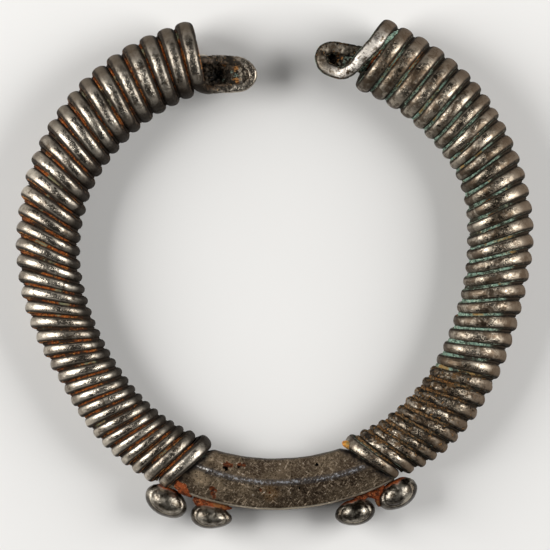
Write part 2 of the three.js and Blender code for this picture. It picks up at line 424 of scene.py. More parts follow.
def newTree(name, inputs):
    tree = bpy.data.node_groups.new(name, "GeometryNodeTree")
    tree.interface.new_socket("Geometry", in_out="INPUT", socket_type="NodeSocketGeometry")
    kinds = {float: "NodeSocketFloat", int: "NodeSocketInt"}
    for label, value in inputs.items():
        kind = kinds.get(type(value), "NodeSocketMaterial")
        socket = tree.interface.new_socket(label, in_out="INPUT", socket_type=kind)
        if kind != "NodeSocketMaterial":
            socket.default_value = value
    tree.interface.new_socket("Geometry", in_out="OUTPUT", socket_type="NodeSocketGeometry")
    return tree


def finishTree(nodes, entry, geometry):
    smooth = nodes.add("GeometryNodeSetShadeSmooth", {}, {"Geometry": geometry})
    real = nodes.add("GeometryNodeRealizeInstances", {}, {"Geometry": smooth})
    finished = nodes.add("GeometryNodeSetMaterial", {}, {
        "Geometry": real, "Material": entry.other("Finish")})
    nodes.add("NodeGroupOutput", {}, {"Geometry": finished})


def woundWireTree():
    tree = newTree("woundWire", {
        "Sides": 20, "Side Fullness": 1.0, "Back Fullness": 1.0, "Boxy Fullness": 0.76,
        "Dish": 0.18, "Hammer Depth": 0.09, "Hammer Spacing": 2.6, "Pit Depth": 0.45,
        "Pit Spacing": 0.8, "Seed": 0.0, "Finish": None})
    nodes = Nodes(tree)
    entry = nodes.add("NodeGroupInput")
    guide = entry.other("Geometry")
    rowCount = nodes.add("GeometryNodeAttributeDomainSize", {}, {"Geometry": guide})
    sides = entry.other("Sides")
    grid = nodes.add("GeometryNodeMeshGrid", {}, {
        "Vertices X": rowCount, "Vertices Y": sides + 1.0})
    index = nodes.add("GeometryNodeInputIndex")
    row = (index / (sides + 1.0)).math("FLOOR")
    side = index % (sides + 1.0)

    def atRow(name, kind="FLOAT"):
        value = nodes.add("GeometryNodeInputNamedAttribute", {"data_type": kind}, {"Name": name})
        return nodes.add("GeometryNodeSampleIndex", {"data_type": kind}, {
            "Geometry": guide, "Value": value, "Index": row})

    here = nodes.add("GeometryNodeInputPosition")
    centre = nodes.add("GeometryNodeSampleIndex", {"data_type": "FLOAT_VECTOR"}, {
        "Geometry": guide, "Value": here, "Index": row})
    across, breadth = atRow("across", "FLOAT_VECTOR"), atRow("breadth", "FLOAT_VECTOR")
    cosine, sine = atRow("phase").math("COSINE"), atRow("phase").math("SINE")
    down = (0.0, 0.0, -1.0)
    away = across * cosine + sine * down
    seat = centre + across * (atRow("swing") * cosine) + (atRow("lift") * sine) * down

    angle = side / sides * fullTurn
    x, y = angle.math("COSINE"), angle.math("SINE")
    boxy = atRow("boxy")
    sideFullness = nodes.mixValue(boxy, entry.other("Side Fullness"), entry.other("Boxy Fullness"))
    backFullness = nodes.mixValue(boxy, entry.other("Back Fullness"), entry.other("Boxy Fullness"))
    wide = x.math("SIGN") * x.math("ABSOLUTE") ** sideFullness
    high = y.math("SIGN") * y.math("ABSOLUTE") ** backFullness
    girth = atRow("girth")
    # the loop's broad edge is dished between two rims
    wide = wide * (1.0 - boxy * entry.other("Dish") * (1.0 - high * high))
    point = (seat + breadth * (atRow("wide") * wide * girth * 0.5)
             + away * (atRow("thick") * (high * girth * 0.5 + 0.5)))

    # hammered unevenness, and pits where the wire is eaten away
    shifted = point + nodes.vector(entry.other("Seed"), 0.0, 0.0)
    skin = breadth * x + away * y
    dent = nodes.noise(shifted, perMillimetre / entry.other("Hammer Spacing"), 2.0)
    point = point - skin * (dent * entry.other("Hammer Depth") * millimetre)
    worn = atRow("worn") * (atRow("inner") * 0.65 + 0.35)
    coarse = nodes.noise(shifted, perMillimetre / entry.other("Pit Spacing"), 3.0, 0.6, 0.4)
    pit = coarse.ramp(0.50, 0.66) * worn
    speck = nodes.noise(shifted, 3100.0, 1.0).ramp(0.68, 0.78) * 0.16
    point = point - skin * ((pit * entry.other("Pit Depth") + speck) * millimetre)

    placed = nodes.add("GeometryNodeSetPosition", {}, {"Geometry": grid, "Position": point})
    for name, value in (("wireBack", high * girth), ("wireSide", x), ("wireTurn", atRow("turn")),
                        ("wireInner", atRow("inner")), ("wireWorn", worn), ("wirePit", pit),
                        ("wireBoxy", boxy)):
        placed = nodes.add("GeometryNodeStoreNamedAttribute", {"data_type": "FLOAT"}, {
            "Geometry": placed, "Name": name, "Value": value})
    closed = nodes.add("GeometryNodeMergeByDistance", {}, {
        "Geometry": placed, "Distance": mergeDistance})
    finishTree(nodes, entry, closed)
    return tree


def growPiece(name, mesh, tree, values, material):
    # runs a node tree on a mesh and keeps the result as a plain, closed mesh
    source = bpy.data.objects.new(name + "_source", mesh)
    bpy.context.scene.collection.objects.link(source)
    modifier = source.modifiers.new("grow", "NODES")
    modifier.node_group = tree
    values = {**values, "Finish": material}
    for item in tree.interface.items_tree:
        if item.in_out == "INPUT" and item.name in values:
            modifier[item.identifier] = values[item.name]
    graph = bpy.context.evaluated_depsgraph_get()
    grown = bpy.data.meshes.new_from_object(source.evaluated_get(graph))
    source.modifiers.clear()
    bpy.data.objects.remove(source)
    faceOutward(grown, merge=True)
    return addPiece(name, grown, material)


def newMaterial(name):
    material = bpy.data.materials.new(name)
    material.use_nodes = True
    material.node_tree.nodes.clear()
    return material, Nodes(material.node_tree)


def finishMaterial(nodes, values, bumpHeight, bumpStrength, bumpDistance):
    bump = nodes.add("ShaderNodeBump", {}, {
        "Height": bumpHeight, "Strength": bumpStrength, "Distance": bumpDistance})
    surface = nodes.add("ShaderNodeBsdfPrincipled", {}, {
        "Specular IOR Level": 0.15, **values, "Normal": bump})
    nodes.add("ShaderNodeOutputMaterial", {}, {"Surface": surface})


def scratchMarks(nodes, place, turns, length, breadth):
    # short straight marks that cross each other
    marks = None
    for number, turn in enumerate(turns):
        turned = nodes.add("ShaderNodeMapping", {"vector_type": "TEXTURE"}, {
            "Vector": place + (number * 0.1, 0.0, 0.0), "Rotation": (0.0, 0.0, turn),
            "Scale": (length, breadth, length * 0.6)})
        cut = nodes.noise(turned, 1.0, 3.0, 0.6).ramp(0.60, 0.70)
        marks = cut if marks is None else marks.math("MAXIMUM", cut)
    return marks


# the grime and tarnish tones also colour the painted shade at the strand ends and in the grooves
leftSilverLook = {
    "bright": (0.67, 0.60, 0.495), "worn": (0.225, 0.188, 0.147), "tarnish": (0.080, 0.058, 0.038),
    "grime": (0.012, 0.008, 0.005), "crustA": (0.33, 0.095, 0.018), "crustB": (0.55, 0.24, 0.06),
    "crustC": (0.26, 0.36, 0.27), "eatenA": (0.13, 0.09, 0.06), "eatenB": (0.34, 0.20, 0.08),
    "crustAmount": 0.53, "crustCAmount": 0.68, "stain": 0.60, "innerDark": 0.97,
    "outerDark": 0.92, "legDull": 0.5, "offset": (0.0, 0.0, 0.0), "paintedHighlightAmount": 0.0,
    "shadedFlankFrom": 0.93, "relief": 0.42,
    "outerShadeFrom": (0.012, 0.032),  # metres up the ring where the painted shade on the outer ends sets in
}
rightSilverLook = {
    "bright": (0.54, 0.465, 0.365), "worn": (0.115, 0.090, 0.063), "tarnish": (0.090, 0.060, 0.037),
    "grime": (0.012, 0.009, 0.006), "crustA": (0.15, 0.23, 0.165), "crustB": (0.40, 0.48, 0.36),
    "crustC": (0.36, 0.13, 0.025), "eatenA": (0.10, 0.055, 0.022), "eatenB": (0.44, 0.225, 0.07),
    "crustAmount": 0.50, "crustCAmount": 0.62, "stain": 0.54, "innerDark": 0.4,
    "outerDark": 0.9, "legDull": 0.22, "offset": (0.05, 0.02, 0.0), "paintedHighlightAmount": 0.85,
    "shadedFlankFrom": 0.84, "relief": 0.62, "outerShadeFrom": (-0.3, -0.2),
}
# the first tone is a painted highlight on the strand that leaves the loop
wireTones = {
    "paintedHighlight": (0.80, 0.74, 0.66), "metalLeft": (0.72, 0.67, 0.60), "bite": (0.008, 0.006, 0.004)}


def wireSilver(name, coil, look):
    material, nodes = newMaterial(name)
    place = nodes.place() + look["offset"]
    back, side, inner, worn, pit, turn, boxy = nodes.marks(
        "wire", "Back", "Side", "Inner", "Worn", "Pit", "Turn", "Boxy")
    wound = 1.0 - boxy
    broad = nodes.noise(place, 160.0, 3.0)
    mottle = nodes.noise(place, 620.0, 6.0, 0.66)
    grain = nodes.noise(place, 2300.0, 4.0, 0.62)
    drawn = nodes.noise(nodes.vector(side * 1.5, back * 1.5, turn * 16.0), 3.0, 4.0, 0.6)
    uneven, fine = mottle - 0.5, grain - 0.5

    cuts = scratchMarks(nodes, place, (1.2, 0.1, -0.8), 0.0011, 0.00017)
    polish = (mottle * 0.5 + broad * 0.5 + grain * 0.2).ramp(0.50, 0.72)
    stain = (nodes.noise(place, 520.0, 6.0, 0.70, 0.6) + inner * 0.05).ramp(
        look["stain"] - 0.04, look["stain"] + 0.07)
    fleck = grain.ramp(0.61, 0.71)

    # painted shade: the inner ends of the strands are dark, the outer ends shaded dark brown, more
    # so higher up the ring
    shade = (inner + uneven * 0.25).ramp(0.70, 0.92) * (wound * look["innerDark"])
    outer = (0.31 - inner + uneven * 0.25).ramp(0.0, 0.22) * (wound * look["outerDark"])
    upRing = nodes.add("ShaderNodeSeparateXYZ", {}, {0: place}).other("Y")
    outer = outer * (upRing.ramp(*look["outerShadeFrom"]) * 0.85 + 0.15)

    # painted highlight on the strand that leaves the loop, with scratches across it
    first = coil.look["firstTurn"]
    paintedHighlight = turn.ramp(first - 0.75, first - 0.45) * turn.ramp(first + 0.12, first + 0.02)
    paintedHighlight = paintedHighlight * look["paintedHighlightAmount"] * (1.0 - outer) * back.ramp(0.0, 0.6)
    zigzag = scratchMarks(nodes, place, (0.5, -0.7), 0.0012, 0.0004)

    # painted shade darkens the flanks into the groove between turns, with corrosion in patches down
    # there
    flank = (look["shadedFlankFrom"] - back + uneven * 0.30 + fine * 0.30).ramp(0.0, 0.25) * wound
    flankShadeColor = nodes.mixColor(grain.ramp(0.52, 0.66) * 0.8, look["grime"], look["tarnish"])
    patches = nodes.noise(place, 120.0, 5.0, 0.6, 0.3) + inner * 0.04
    low = (0.40 - back + fine * 1.2).ramp(0.0, 0.3)
    crust = patches.ramp(look["crustAmount"] - 0.05, look["crustAmount"] + 0.05) * low * wound
    # no crust shows through the painted shade at the strand ends
    crust = crust * (1.0 - shade) * (1.0 - outer)
    otherPatch = nodes.noise(place + (0.03, 0.07, 0.0), 150.0, 4.0, 0.6).ramp(
        look["crustCAmount"] - 0.03, look["crustCAmount"] + 0.03)
    crustColor = nodes.layered(
        look["crustA"], (grain.ramp(0.38, 0.62), look["crustB"]), (otherPatch, look["crustC"]))

    # eaten surface: black holes, brown and ochre products, bits of bright metal left
    bites = nodes.noise(place, 1050.0, 4.0, 0.6, 0.5)
    eaten = (pit * 1.1 + worn * (bites.ramp(0.48, 0.60) * 1.1 + look["legDull"])
             + worn * (0.75 - back) * 1.1).ramp(0.25, 0.85)
    eatenColor = nodes.layered(
        wireTones["bite"], (mottle.ramp(0.48, 0.58), look["eatenA"]),
        (grain.ramp(0.58, 0.68), look["eatenB"]))

    color = nodes.layered(
        look["worn"], (polish, look["bright"]), (stain * 0.85, look["tarnish"]),
        (fleck * 0.65, look["grime"]), (shade, look["grime"]), (outer, look["tarnish"]),
        (paintedHighlight * mottle.ramp(0.40, 0.52), wireTones["paintedHighlight"]),
        (paintedHighlight * zigzag * 0.9, look["tarnish"]), (flank * 0.96, flankShadeColor), (crust, crustColor),
        (worn * bites.ramp(0.36, 0.26) * 0.9, wireTones["metalLeft"]),
        (eaten * 0.92, eatenColor))
    dull = (flank * 0.75).most(crust, eaten * 0.85, shade * 0.6, outer * 0.7)
    roughness = nodes.mixValue(dull, 0.26, 0.88) + uneven * 0.28 + stain * 0.12
    height = (mottle * 0.32 + grain * 0.34 + drawn * 0.25 - cuts * 0.12 - fleck * 0.35
              - eaten * 0.5 + crust * 0.25 + stain * 0.1)
    finishMaterial(nodes, {
        "Base Color": color, "Metallic": nodes.mixValue(dull, 1.0, 0.05),
        "Roughness": roughness}, height, look["relief"], 0.00026)
    return material


woundWire = woundWireTree()
for side, node, silverName, look in (
        (leftSide, "left_winding", "left_wire_silver", leftSilverLook),
        (rightSide, "right_winding", "right_wire_silver", rightSilverLook)):
    rows = loopRows(side) + coilRows(side)[1:]
    silver = wireSilver(silverName, side, look)
    piece = growPiece(node + "_wire", guideMesh(node, rows, wire["endRows"]), woundWire, {
        "Sides": wire["sides"], "Seed": side.look["seed"] * 0.01}, silver)
    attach(piece, "root")
    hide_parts(node)

barLook = {
    "bow": 0.65, "halfWidth": 4.2, "underside": 1.1, "shoulder": 6.6, "ridge": 8.0,
    "bevel": 0.5, "ridgeInward": 0.8, "startTurns": 0.2, "rows": 200, "fadeRows": 9.0,
    "coreClearance": 1.0, "coreFirstTurn": 2, "coreRows": 24, "corePoints": 10,
    "tongueHalfWidth": 1.7, "tongueHalfThickness": 0.6, "tongueRows": 14,
    "leftTongue": (4.9, 30.7, 4.4), "rightTongue": (8.9, 33.3, 5.5),
    # points to each edge of the section: outer wall, bevel, outer top, inner top, ...
    "edgePoints": [8, 3, 22, 22, 3, 8, 3, 6, 6, 3],
    # rust pits and holes: place, radius, depth
    "rustPits": [(-7.75, -32.7, 0.62, 0.30), (-8.25, -32.6, 0.3, 0.2), (-5.75, -32.6, 0.42, 0.35),
                 (-5.1, -32.75, 0.32, 0.15), (-10.1, -37.4, 0.5, 0.2), (-10.15, -36.6, 0.42, 0.15),
                 (-9.75, -36.9, 0.35, 0.12), (-9.75, -38.0, 0.42, 0.12),
                 (-2.3, -36.9, 0.25, 0.1), (-0.9, -37.3, 0.2, 0.1)],
    "holes": [(-7.95, -33.15, 0.42, 0.8), (-5.85, -32.95, 0.22, 0.4), (6.75, -32.6, 0.28, 0.5),
              (4.0, -36.6, 0.2, 0.2), (-2.6, -37.1, 0.16, 0.2)],
    # paler patches of the metal, partly painted light that brightens the left end: place, radius,
    # strength
    "palePatches": [(-12.4, -34.6, 1.2, 1.3), (-11.5, -35.3, 1.1, 1.2), (-9.3, -35.9, 2.2, 0.6),
                    (-10.6, -31.6, 1.0, 0.7), (-5.0, -36.6, 3.4, 0.55), (-8.0, -31.9, 3.0, 0.45),
                    (1.0, -32.9, 2.2, 0.3), (8.0, -32.4, 2.6, 0.3)],
    "stain": (-0.7, -37.3, 1.7), "pitReach": 2.5, "hammer": 0.10,
    # widths of the painted ridge sheen, the edge line and the painted glint, and where along the
    # bar the glint lies
    "ridgeSpread": 0.42, "edgeSpread": 0.17, "brightSpread": 0.24,
    "brightFrom": (-13.2, -12.6), "brightTo": (-11.4, -9.8),
}
barRadius = (leftSide.frame(leftSide.turns)["radius"]
             + rightSide.frame(rightSide.turns)["radius"]) / 2 + barLook["bow"]


def barSection():
    half, bevel = barLook["halfWidth"], barLook["bevel"]
    low, shoulder, ridge = barLook["underside"], barLook["shoulder"], barLook["ridge"]
    corners = [(half, low + bevel), (half, shoulder - bevel), (half - bevel * 0.6, shoulder),
               (0.0, ridge), (bevel * 0.6 - half, shoulder), (-half, shoulder - bevel),
               (-half, low + bevel), (bevel - half, low), (0.0, low), (half - bevel, low)]
    section, share = [], []
    total = len(corners)
    for place, count in enumerate(barLook["edgePoints"]):
        start, end = np.array(corners[place]), np.array(corners[(place + 1) % total])
        for step in range(count):
            section.append(start + (end - start) * step / count)
            share.append((place + step / count) / total)
    section = np.array(section)
    for _ in range(2):  # soften the corners a little
        section = section * 0.5 + (np.roll(section, 1, 0) + np.roll(section, -1, 0)) * 0.25
    return section, np.array(share)


def ovalRow(centre, wide, high, share, level, top=upward):
    turn = (share * barLook["corePoints"] - 0.5) / barLook["corePoints"] * fullTurn
    return centre + np.outer(np.cos(turn), level) * wide + np.outer(np.sin(turn), top) * high


def coreRows(coil, tongue, share):
    side, clear = coil.side, barLook["coreClearance"]
    tip = np.array([side * tongue[0], tongue[1], tongue[2] - barLook["tongueHalfThickness"]])
    neck = coil.frame(1)["centre"].copy()
    neck[2] = tip[2]
    reach = unit(tip - neck)
    level = np.cross(reach, upward) * side
    rows = []
    length = np.linalg.norm(tip - neck)
    for step in range(barLook["tongueRows"] + 1):
        back = length * (step / barLook["tongueRows"]) ** 1.6
        rounded = back / 1.2  # millimetres from the tip to the full girth
        girth = math.sqrt(min(1.0, rounded * (2 - min(rounded, 1)) + 0.02))
        rows.append(ovalRow(tip - reach * back, barLook["tongueHalfWidth"] * girth,
                            barLook["tongueHalfThickness"] * girth, share, level))
    for step in range(barLook["coreRows"] + 1):
        turn = barLook["coreFirstTurn"]
        turn += (coil.turns - turn) * step / barLook["coreRows"]
        plane = coil.frame(turn)
        rows.append(ovalRow(plane["centre"], plane["width"] - plane["thickness"] - clear,
                            plane["height"] - plane["thickness"] - clear, share, plane["across"]))
    return rows


def bareRows(section):
    begin = leftSide.frame(leftSide.turns + barLook["startTurns"])
    end = rightSide.frame(rightSide.turns + barLook["startTurns"])
    nearRidge = (np.clip(1 - np.abs(section[:, 0]) / barLook["halfWidth"], 0, 1)
                 * (section[:, 1] > barLook["shoulder"]))
    rows = []
    for step in range(barLook["rows"] + 1):
        share = step / barLook["rows"]
        inward = (barLook["ridgeInward"] * (1 - 0.4 * easeBetween(share, 0.0, 0.4))
                  * (1 - easeBetween(share, 0.55, 1.0)))
        across = section[:, 0] - inward * nearRidge
        angle = begin["middle"] + (360 - end["middle"] - begin["middle"]) * share
        slope = begin["slope"] * max(0, 1 - 2 * share) - end["slope"] * max(0, 2 * share - 1)
        outward, along = leftSide.directions(math.radians(angle))
        rows.append(np.outer(barRadius + across, outward)
                    - np.outer(slope * across, along) + np.outer(section[:, 1], upward))
    return rows


def loftMesh(name, rows):
    # closed rings one after the other, with a fan at each end
    count = len(rows[0])
    mesh = bpy.data.meshes.new(name)
    points = np.concatenate(rows)
    ends = [rows[0].mean(0), rows[-1].mean(0)]
    points = np.concatenate([points, ends])
    faces = []
    for row in range(len(rows) - 1):
        for place in range(count):
            a, b = row * count + place, row * count + (place + 1) % count
            faces.append((a, b, b + count, a + count))
    last = (len(rows) - 1) * count
    for place in range(count):
        following = (place + 1) % count
        faces.append((following, place, len(points) - 2))
        faces.append((last + place, last + following, len(points) - 1))
    mesh.from_pydata(toMetres(points).tolist(), [], faces)
    mesh.update()
    faceOutward(mesh)
    mesh.shade_smooth()
    return mesh


def buildBar():
    section, share = barSection()
    left = coreRows(leftSide, barLook["leftTongue"], share)
    right = coreRows(rightSide, barLook["rightTongue"], share)
    bare = bareRows(section)
    mesh = loftMesh("ridged_bar", left + bare + right[::-1])
    count, total = len(section), len(mesh.vertices)
    spots, normals = np.zeros(total * 3), np.zeros(total * 3)
    mesh.vertices.foreach_get("co", spots)
    mesh.vertices.foreach_get("normal", normals)
    spots, normals = spots.reshape(-1, 3), normals.reshape(-1, 3)
    local = spots / millimetre - ringAxis
    shown = slice(len(left) * count, (len(left) + len(bare)) * count)
    isBare, seen = np.zeros(total), np.zeros(total)
    isBare[shown] = 1
    # the bare rows next to each wrap fade into painted shadow from the wrap, and the inner wall is
    # darker as well
    step = np.arange(len(bare))
    fade = np.clip(np.minimum(step, step[::-1]) / barLook["fadeRows"], 0, 1)
    innerWall = ((section[:, 0] < 0.2 - barLook["halfWidth"])
                 & (section[:, 1] < barLook["shoulder"] - 0.35))
    seen[shown] = np.outer(fade, np.where(innerWall, 0.3, 1.0)).ravel()

    across, height = section[np.append(np.arange(total - 2) % count, [0, 0])].T
    offset = np.abs(across)
    topside = (height > barLook["shoulder"] - 0.9) * isBare
    ridge = np.exp(-(offset / barLook["ridgeSpread"]) ** 2) * topside
    fromEdge = (offset - barLook["halfWidth"] + 0.25) / barLook["edgeSpread"]
    edge = np.exp(-fromEdge ** 2) * topside * np.where(across > 0, 1.0, 0.12)
    # a painted glint along the ridge near the left end
    bright = (np.exp(-(offset / barLook["brightSpread"]) ** 2) * ridge
              * (easeBetween(local[:, 0], *barLook["brightFrom"])
                 - easeBetween(local[:, 0], *barLook["brightTo"])))

    depth, hammer = np.zeros(total), barLook["hammer"]
    for place, point in enumerate(local):
        spot = Vector(point)
        if isBare[place]:
            dent = max(0.0, noise.noise(spot * 1.1 + Vector((7, 0, 3))) - 0.35)
            depth[place] = (hammer * zeroToOne(spot * 0.45) + 0.035 * abs(noise.noise(spot * 2.6))
                            + hammer * dent + ridge[place] * hammer * zeroToOne(spot * 1.7))
        else:
            depth[place] = hammer * zeroToOne(spot * 1.3)

    def farFrom(x, y, radius):
        return np.hypot(local[:, 0] - x, local[:, 1] - y) / radius

    top = (local[:, 2] > barLook["shoulder"] - 1.6) * isBare
    pale = np.max([np.exp(-farFrom(x, y, radius) ** 2) * top * strength
                   for x, y, radius, strength in barLook["palePatches"]], axis=0)
    for name, pits in (("barRust", barLook["rustPits"]), ("barHole", barLook["holes"])):
        field = np.zeros(total)
        for x, y, radius, deep in pits:
            far = farFrom(x, y, radius)
            close = far < barLook["pitReach"]
            ragged = np.array([noise.noise(Vector(point) * 2.4) for point in local[close]])
            near = np.zeros(total)
            near[close] = np.clip(1.15 - far[close] + 0.9 * ragged, 0, 1) * top[close]
            depth += deep * np.clip(near * 1.4, 0, 1) ** 1.5
            field = np.maximum(field, np.clip(near * 2.2, 0, 1))
        storeValues(mesh, {name: field})
    spots -= normals * (depth * millimetre)[:, None]
    mesh.vertices.foreach_set("co", spots.ravel())
    storeValues(mesh, {
        "barRidge": ridge, "barEdge": edge, "barPale": pale, "barBright": bright,
        "barBare": seen, "barStain": np.exp(-farFrom(*barLook["stain"]) ** 2) * top})
    mesh.update()
    return mesh


barTones = {
    "dark": (0.060, 0.041, 0.026), "plain": (0.118, 0.086, 0.055), "pale": (0.40, 0.30, 0.19),
    "stain": (0.21, 0.115, 0.045), "light": (0.215, 0.162, 0.108), "scratch": (0.43, 0.345, 0.25),
    "speck": (0.39, 0.305, 0.215), "blackSpeck": (0.022, 0.015, 0.010),
    "ridgeSheenDark": (0.052, 0.052, 0.056), "ridgeHighlightTone": (0.30, 0.315, 0.34),
    "glint": (0.80, 0.77, 0.72), "edge": (0.50, 0.43, 0.33), "hole": (0.006, 0.005, 0.004),
    "rustDark": (0.016, 0.005, 0.002), "rust": (0.12, 0.030, 0.007),
    "dirtAndShadowDark": (0.008, 0.006, 0.005), "dirtAndShadow": (0.060, 0.042, 0.026), "moss": (0.08, 0.095, 0.07),
}


def barSilver():
    material, nodes = newMaterial("bar_silver")
    place, tones = nodes.place(), barTones
    ridge, edge, rust, bare, hole, pale, bright, stain = nodes.marks(
        "bar", "Ridge", "Edge", "Rust", "Bare", "Hole", "Pale", "Bright", "Stain")
    broad = nodes.noise(place, 190.0, 5.0, 0.6)
    mottle = nodes.noise(place, 1000.0, 6.0, 0.7)
    grain = nodes.noise(place, 3000.0, 4.0, 0.65)
    uneven, fine = mottle - 0.5, grain - 0.5
    cuts = scratchMarks(nodes, place, (0.95, -0.6), 0.0017, 0.0003)
    # painted bluish-grey sheen along the ridge, with a painted silver highlight on its crest
    ridgeHighlight = (ridge + fine * 3.4 + uneven * 2.6).ramp(0.82, 1.3)
    # painted glint near the left end of the ridge
    glint = (bright + fine * 2.8 + uneven * 2.4).ramp(0.62, 0.95)
    rusty = (rust + fine * 0.8 + uneven * 0.8).ramp(0.35, 0.6)
    black = (hole + fine * 0.5).ramp(0.4, 0.7)
    # painted shadow next to the wraps, the darker inner wall and dirt on the covered core share one
    # dark colour
    hiddenAndShaded = 1.0 - bare
    dirtAndShadow = nodes.layered(tones["dirtAndShadowDark"], (mottle.ramp(0.45, 0.62), tones["dirtAndShadow"]),
                         (broad.ramp(0.60, 0.66) * 0.5, tones["moss"]))
    rustColor = nodes.mixColor(grain.ramp(0.38, 0.60), tones["rustDark"], tones["rust"])
    color = nodes.layered(
        tones["dark"], (broad.ramp(0.38, 0.62), tones["plain"]),
        # pale patches, partly painted light towards the left end
        ((pale + uneven * 0.9).ramp(0.15, 0.95) * 0.8, tones["pale"]),
        ((stain + uneven * 0.8).ramp(0.2, 0.9) * 0.6, tones["stain"]),
        (mottle.ramp(0.48, 0.66) * 0.7, tones["light"]), (cuts * 0.5, tones["scratch"]),
        (grain.ramp(0.57, 0.67) * 0.6, tones["speck"]),
        ((1.0 - grain).ramp(0.54, 0.64) * 0.85, tones["blackSpeck"]),
        # painted sheen and highlight along the ridge
        (ridge.ramp(0.03, 0.35) * 0.5, tones["ridgeSheenDark"]),
        (ridgeHighlight * 0.7, tones["ridgeHighlightTone"]), (glint, tones["glint"]),
        ((edge * 1.1 + uneven).ramp(0.3, 0.85) * 0.85, tones["edge"]),
        (hiddenAndShaded, dirtAndShadow), (rusty, rustColor), (black, tones["hole"]))
    dull = rusty.most(hiddenAndShaded * 0.9)
    roughness = nodes.mixValue(dull, 0.46, 0.7) - ridgeHighlight * 0.06 + uneven * 0.3 - black * 0.2
    finishMaterial(nodes, {
        "Base Color": color, "Metallic": nodes.mixValue(dull, 0.85, 0.1),
        "Roughness": roughness}, mottle * 0.5 + grain * 0.5 - cuts * 0.25, 0.75, 0.00028)
    return material


bar = addPiece("ridged_bar", buildBar(), barSilver())
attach(bar, "root")
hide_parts("core_bar")

# side, degrees past the coil's end, stand-off, tilt, half length, breadth and height,
# how much the breadth tapers towards the bar's middle
knobLook = {
    "left_side_knob": ("left", 2.8, 2.4, -30, 3.85, 2.55, 2.9, 0.05),
    "left_bar_knob": ("left", 13.2, 2.3, -8, 3.6, 2.1, 2.5, 0.22),
    "right_side_knob": ("right", 2.2, 2.3, 33, 3.6, 2.45, 2.8, -0.05),
    "right_bar_knob": ("right", 12.4, 2.4, 12, 3.45, 2.25, 2.6, -0.08),
}
knobShape = {
    "clearance": 0.12, "centreHeight": 4.6, "sides": 96, "bands": 56, "shrink": 0.975,
    # share of the radius and of the height, from the crown to the foot
    "profile": [
        (0.0, 1.0), (0.26, 0.97), (0.46, 0.88), (0.60, 0.74), (0.66, 0.62), (0.69, 0.53),
        (0.76, 0.50), (0.88, 0.34), (0.97, 0.10), (1.0, -0.12), (0.95, -0.44), (0.77, -0.74),
        (0.42, -0.94), (0.0, -1.0)],
    "creaseAt": 0.74, "creaseWidth": 0.035, "creaseHeight": 0.49, "unevenness": 0.04,
}


def buildKnob(name, look):
    sideName, beyond, standOff, tilt, length, breadth, height, taper = look
    coil = leftSide if sideName == "left" else rightSide
    edge = barRadius + barLook["halfWidth"]
    angle = coil.frame(coil.turns)["angle"] + beyond
    outward, _ = coil.directions(math.radians(angle))
    centre = outward * (edge + standOff) + upward * knobShape["centreHeight"]
    tilt = math.radians(tilt)
    longWay = np.array([math.cos(tilt), math.sin(tilt), 0.0])
    shortWay = np.array([-math.sin(tilt), math.cos(tilt), 0.0])
    profile = smoothLine([(r, h, 0.0) for r, h in knobShape["profile"]], knobShape["bands"])
    profile[0, 0] = profile[-1, 0] = 0.004
    plain = np.array([(math.sin(t), math.cos(t), 0.0)
                      for t in np.linspace(0, math.pi, knobShape["bands"])])
    rows, creases, shadedFlanks = [], [], []
    for band, oval in zip(profile, plain):
        ring, crease, flank = [], [], []
        for step in range(knobShape["sides"]):
            turn = step / knobShape["sides"] * fullTurn
            endWay = longWay * math.cos(turn) * length
            sideWay = shortWay * math.sin(turn) * breadth
            outerShare = 0.5 + 0.5 * float(unit(endWay + sideWay) @ outward)
            shaped = band * (0.35 + 0.65 * outerShare) + oval * (0.65 - 0.65 * outerShare)
            narrow = 1.0 - taper * math.cos(turn) * shaped[0]
            point = (endWay + sideWay * narrow) * shaped[0] + upward * height * shaped[1]
            point = centre + point * knobShape["shrink"]
            lump = (zeroToOne(Vector(point) * 0.55)
                    + 0.35 * abs(noise.noise(Vector(point) * 1.7)))
            point = point + (centre - point) * knobShape["unevenness"] * lump
            short = edge + knobShape["clearance"] - float(point @ outward)
            point = point + outward * max(0.0, short)
            ring.append(point)
            # where a highlight is painted along the crease
            ledge = (band[0] - knobShape["creaseAt"]) / knobShape["creaseWidth"]
            crease.append(math.exp(-ledge ** 2) * (band[1] > 0) * outerShare)
            # painted shade on the knob's outer, lower side below the crease
            below = band[1] < knobShape["creaseHeight"]
            flank.append(float(below) * float(easeBetween(outerShare, 0.35, 0.75)))
        rows.append(np.array(ring))
        creases.extend(crease)
        shadedFlanks.extend(flank)
    mesh = loftMesh(name, rows)
    dark = [float(sideName == "right")] * len(creases)
    for key, values in (("knobCrease", creases), ("knobFlank", shadedFlanks), ("knobDark", dark)):
        storeValues(mesh, {key: values + [0.0, 0.0]})
    return mesh



knobTones = {
    "dark": (0.11, 0.090, 0.067), "bright": (0.41, 0.37, 0.305), "tarnish": (0.055, 0.042, 0.03),
    "speck": (0.02, 0.014, 0.009), "flank": (0.045, 0.037, 0.029), "black": (0.022, 0.017, 0.012),
    "creaseHighlight": (0.52, 0.45, 0.35), "rustDark": (0.12, 0.022, 0.006), "rust": (0.34, 0.085, 0.02),
}


